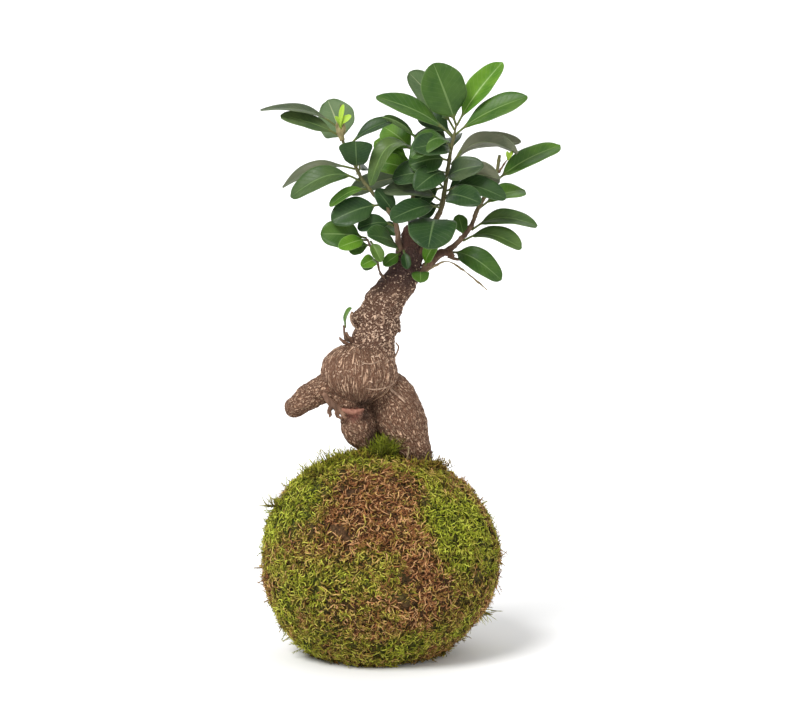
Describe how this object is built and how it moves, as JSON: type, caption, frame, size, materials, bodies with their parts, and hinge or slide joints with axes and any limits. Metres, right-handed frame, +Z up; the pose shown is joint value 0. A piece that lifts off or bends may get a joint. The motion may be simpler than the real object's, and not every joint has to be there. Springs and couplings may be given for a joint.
{
  "type": "moss ball plant",
  "caption": "Small-leaved fig with a swollen rootstock and leafy shoots, planted in a round ball of moss with a flat resting spot underneath.",
  "frame": {"origin": "centre of the flat resting spot under the moss ball", "axes": "+Z up along the height of the plant, +X to the side the crown leans to, -Y the front"},
  "size_m": [0.1655, 0.1301, 0.3267],
  "materials": {
    "bark": "rough wrinkled bark with pale flecks",
    "twig_bark": "fine matte bark",
    "dry_stalk": "dry matte fibre",
    "leaf": "satin leaf, paler underneath and along the midrib",
    "moss_green": "matte curly moss",
    "moss_brown": "matte dry moss",
    "soil": "matte packed soil"
  },
  "bodies": {
    "root": {"crown_shoot": "twig_bark", "dry_stalk": "dry_stalk", "leaf_01": "leaf", "leaf_02": "leaf", "leaf_03": "leaf", "leaf_04": "leaf", "leaf_05": "leaf", "leaf_06": "leaf", "leaf_07": "leaf", "leaf_08": "leaf", "leaf_09": "leaf", "leaf_10": "leaf", "leaf_11": "leaf", "leaf_12": "leaf", "leaf_13": "leaf", "leaf_14": "leaf", "leaf_15": "leaf", "leaf_16": "leaf", "leaf_17": "leaf", "leaf_18": "leaf", "leaf_19": "leaf", "leaf_20": "leaf", "leaf_21": "leaf", "leaf_22": "leaf", "leaf_23": "leaf", "leaf_24": "leaf", "leaf_25": "leaf", "leaf_26": "leaf", "leaf_27": "leaf", "leaf_28": "leaf", "leaf_29": "leaf", "leaf_30": "leaf", "leaf_31": "leaf", "leaf_32": "leaf", "leaf_33": "leaf", "leaf_34": "leaf", "leaf_35": "leaf", "leaf_36": "leaf", "leaf_37": "leaf", "leaf_38": "leaf", "leaf_39": "leaf", "leaf_40": "leaf", "leaf_41": "leaf", "leaf_42": "leaf", "leaf_43": "leaf", "leaf_44": "leaf", "leaf_45": "leaf", "left_branch": "twig_bark", "low_shoot": "twig_bark", "middle_shoot": "twig_bark", "moss_back": "moss_green", "moss_base": "moss_brown", "moss_front": "moss_green", "moss_right": "moss_green", "moss_shoulder": "moss_green", "moss_top": "moss_brown", "right_branch": "twig_bark", "rootstock": "bark", "side_sprout": "twig_bark", "soil_core": "soil"}
  },
  "joints": []
}
